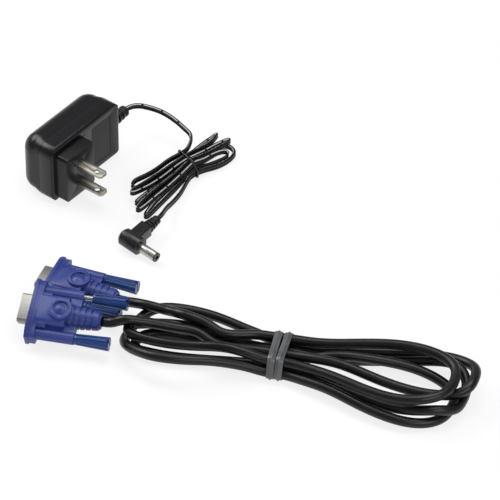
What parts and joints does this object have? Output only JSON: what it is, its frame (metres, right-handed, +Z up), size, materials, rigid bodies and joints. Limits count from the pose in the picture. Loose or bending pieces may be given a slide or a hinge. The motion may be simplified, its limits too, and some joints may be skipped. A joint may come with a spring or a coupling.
{
  "type": "power_and_display_cable_set",
  "caption": "Plug-in mains adapter with a tied low-voltage lead and right-angle barrel plug, beside a looped display cable with a moulded thumb-screw plug at each end",
  "frame": {"origin": "centre of the adapter's base face, on the table that both items lie on", "axes": "Z up; X to the right and Y away from the viewer of the pictured view; the adapter is turned 51.3 degrees about Z"},
  "size_m": [0.2449, 0.2493, 0.037],
  "materials": {
    "black_plastic": "moulded ABS, fine satin gloss",
    "label_film": "thin printed film, left blank",
    "nickel": "nickel plated, satin",
    "dark_plastic": "moulded plastic",
    "board": "phenolic board",
    "ferrite": "sintered ferrite",
    "copper_wire": "enamelled copper wire",
    "black_sleeve": "thin shrunk sleeve",
    "resistor_body": "lacquered body",
    "black_vinyl": "soft vinyl with a low sheen",
    "blue_vinyl": "soft moulded vinyl, violet blue",
    "blue_plastic": "moulded plastic, blue",
    "gold_pins": "gold flashed contacts",
    "zinc_steel": "zinc plated steel",
    "blue_grip": "moulded plastic, clear blue",
    "grey_tie": "grey vinyl strip over wire"
  },
  "bodies": {
    "set": {"adapter_rear_shell": "black_plastic", "adapter_front_shell": "black_plastic", "rating_label": "label_film", "mains_blades": "nickel", "blade_retainer": "dark_plastic", "circuit_board": "board", "transformer_core": "ferrite", "transformer_winding": "copper_wire", "input_capacitors": "black_sleeve", "output_capacitor": "black_sleeve", "rectifier_bridge": "dark_plastic", "fusible_resistor": "resistor_body", "switching_transistor": "dark_plastic", "choke": "copper_wire", "lead_strain_relief": "black_vinyl", "dc_lead": "black_vinyl", "dc_hank": "black_vinyl", "dc_lead_tail": "black_vinyl", "dc_tie": "black_sleeve", "dc_plug_grip": "black_vinyl", "dc_plug_barrel": "nickel", "dc_plug_insulator": "dark_plastic", "dc_plug_contact": "nickel", "front_hood": "blue_vinyl", "front_insulator": "blue_plastic", "front_face_shell": "nickel", "front_back_shell": "nickel", "front_pins": "gold_pins", "rear_hood": "blue_vinyl", "rear_insulator": "blue_plastic", "rear_face_shell": "nickel", "rear_back_shell": "nickel", "rear_pins": "gold_pins", "cable_front_lead": "black_vinyl", "cable_rear_lead": "black_vinyl", "cable_hank": "black_vinyl", "cable_tie": "grey_tie"},
    "front_upper_clip_body": {"front_upper_clip": "zinc_steel"},
    "front_upper_screw_body": {"front_upper_jackscrew": "zinc_steel", "front_upper_grip": "blue_grip"},
    "front_lower_clip_body": {"front_lower_clip": "zinc_steel"},
    "front_lower_screw_body": {"front_lower_jackscrew": "zinc_steel", "front_lower_grip": "blue_grip"},
    "rear_upper_clip_body": {"rear_upper_clip": "zinc_steel"},
    "rear_upper_screw_body": {"rear_upper_jackscrew": "zinc_steel", "rear_upper_grip": "blue_grip"},
    "rear_lower_clip_body": {"rear_lower_clip": "zinc_steel"},
    "rear_lower_screw_body": {"rear_lower_jackscrew": "zinc_steel", "rear_lower_grip": "blue_grip"}
  },
  "joints": [
    {"name": "front_upper_screw_draw", "type": "slide", "parent": "set", "child": "front_upper_clip_body", "axis": [0.9756, -0.2193, 0], "range_m": [-0.0047, 0]},
    {"name": "front_upper_screw_turn", "type": "hinge", "parent": "front_upper_clip_body", "child": "front_upper_screw_body", "pos_m": [0.00409, -0.12585, 0.01814], "axis": [0.9756, -0.2193, 0], "continuous": true},
    {"name": "front_lower_screw_draw", "type": "slide", "parent": "set", "child": "front_lower_clip_body", "axis": [0.9756, -0.2193, 0], "range_m": [0, 0.0047]},
    {"name": "front_lower_screw_turn", "type": "hinge", "parent": "front_lower_clip_body", "child": "front_lower_screw_body", "pos_m": [-0.00558, -0.14742, 0.00878], "axis": [0.9756, -0.2193, 0], "continuous": true},
    {"name": "rear_upper_screw_draw", "type": "slide", "parent": "set", "child": "rear_upper_clip_body", "axis": [0.933, -0.36, 0], "range_m": [0, 0.0047]},
    {"name": "rear_upper_screw_turn", "type": "hinge", "parent": "rear_upper_clip_body", "child": "rear_upper_screw_body", "pos_m": [0.00986, -0.09588, 0.007], "axis": [0.933, -0.36, 0], "continuous": true},
    {"name": "rear_lower_screw_draw", "type": "slide", "parent": "set", "child": "rear_lower_clip_body", "axis": [0.933, -0.36, 0], "range_m": [0, 0.0047]},
    {"name": "rear_lower_screw_turn", "type": "hinge", "parent": "rear_lower_clip_body", "child": "rear_lower_screw_body", "pos_m": [0.00086, -0.1192, 0.007], "axis": [0.933, -0.36, 0], "continuous": true}
  ]
}
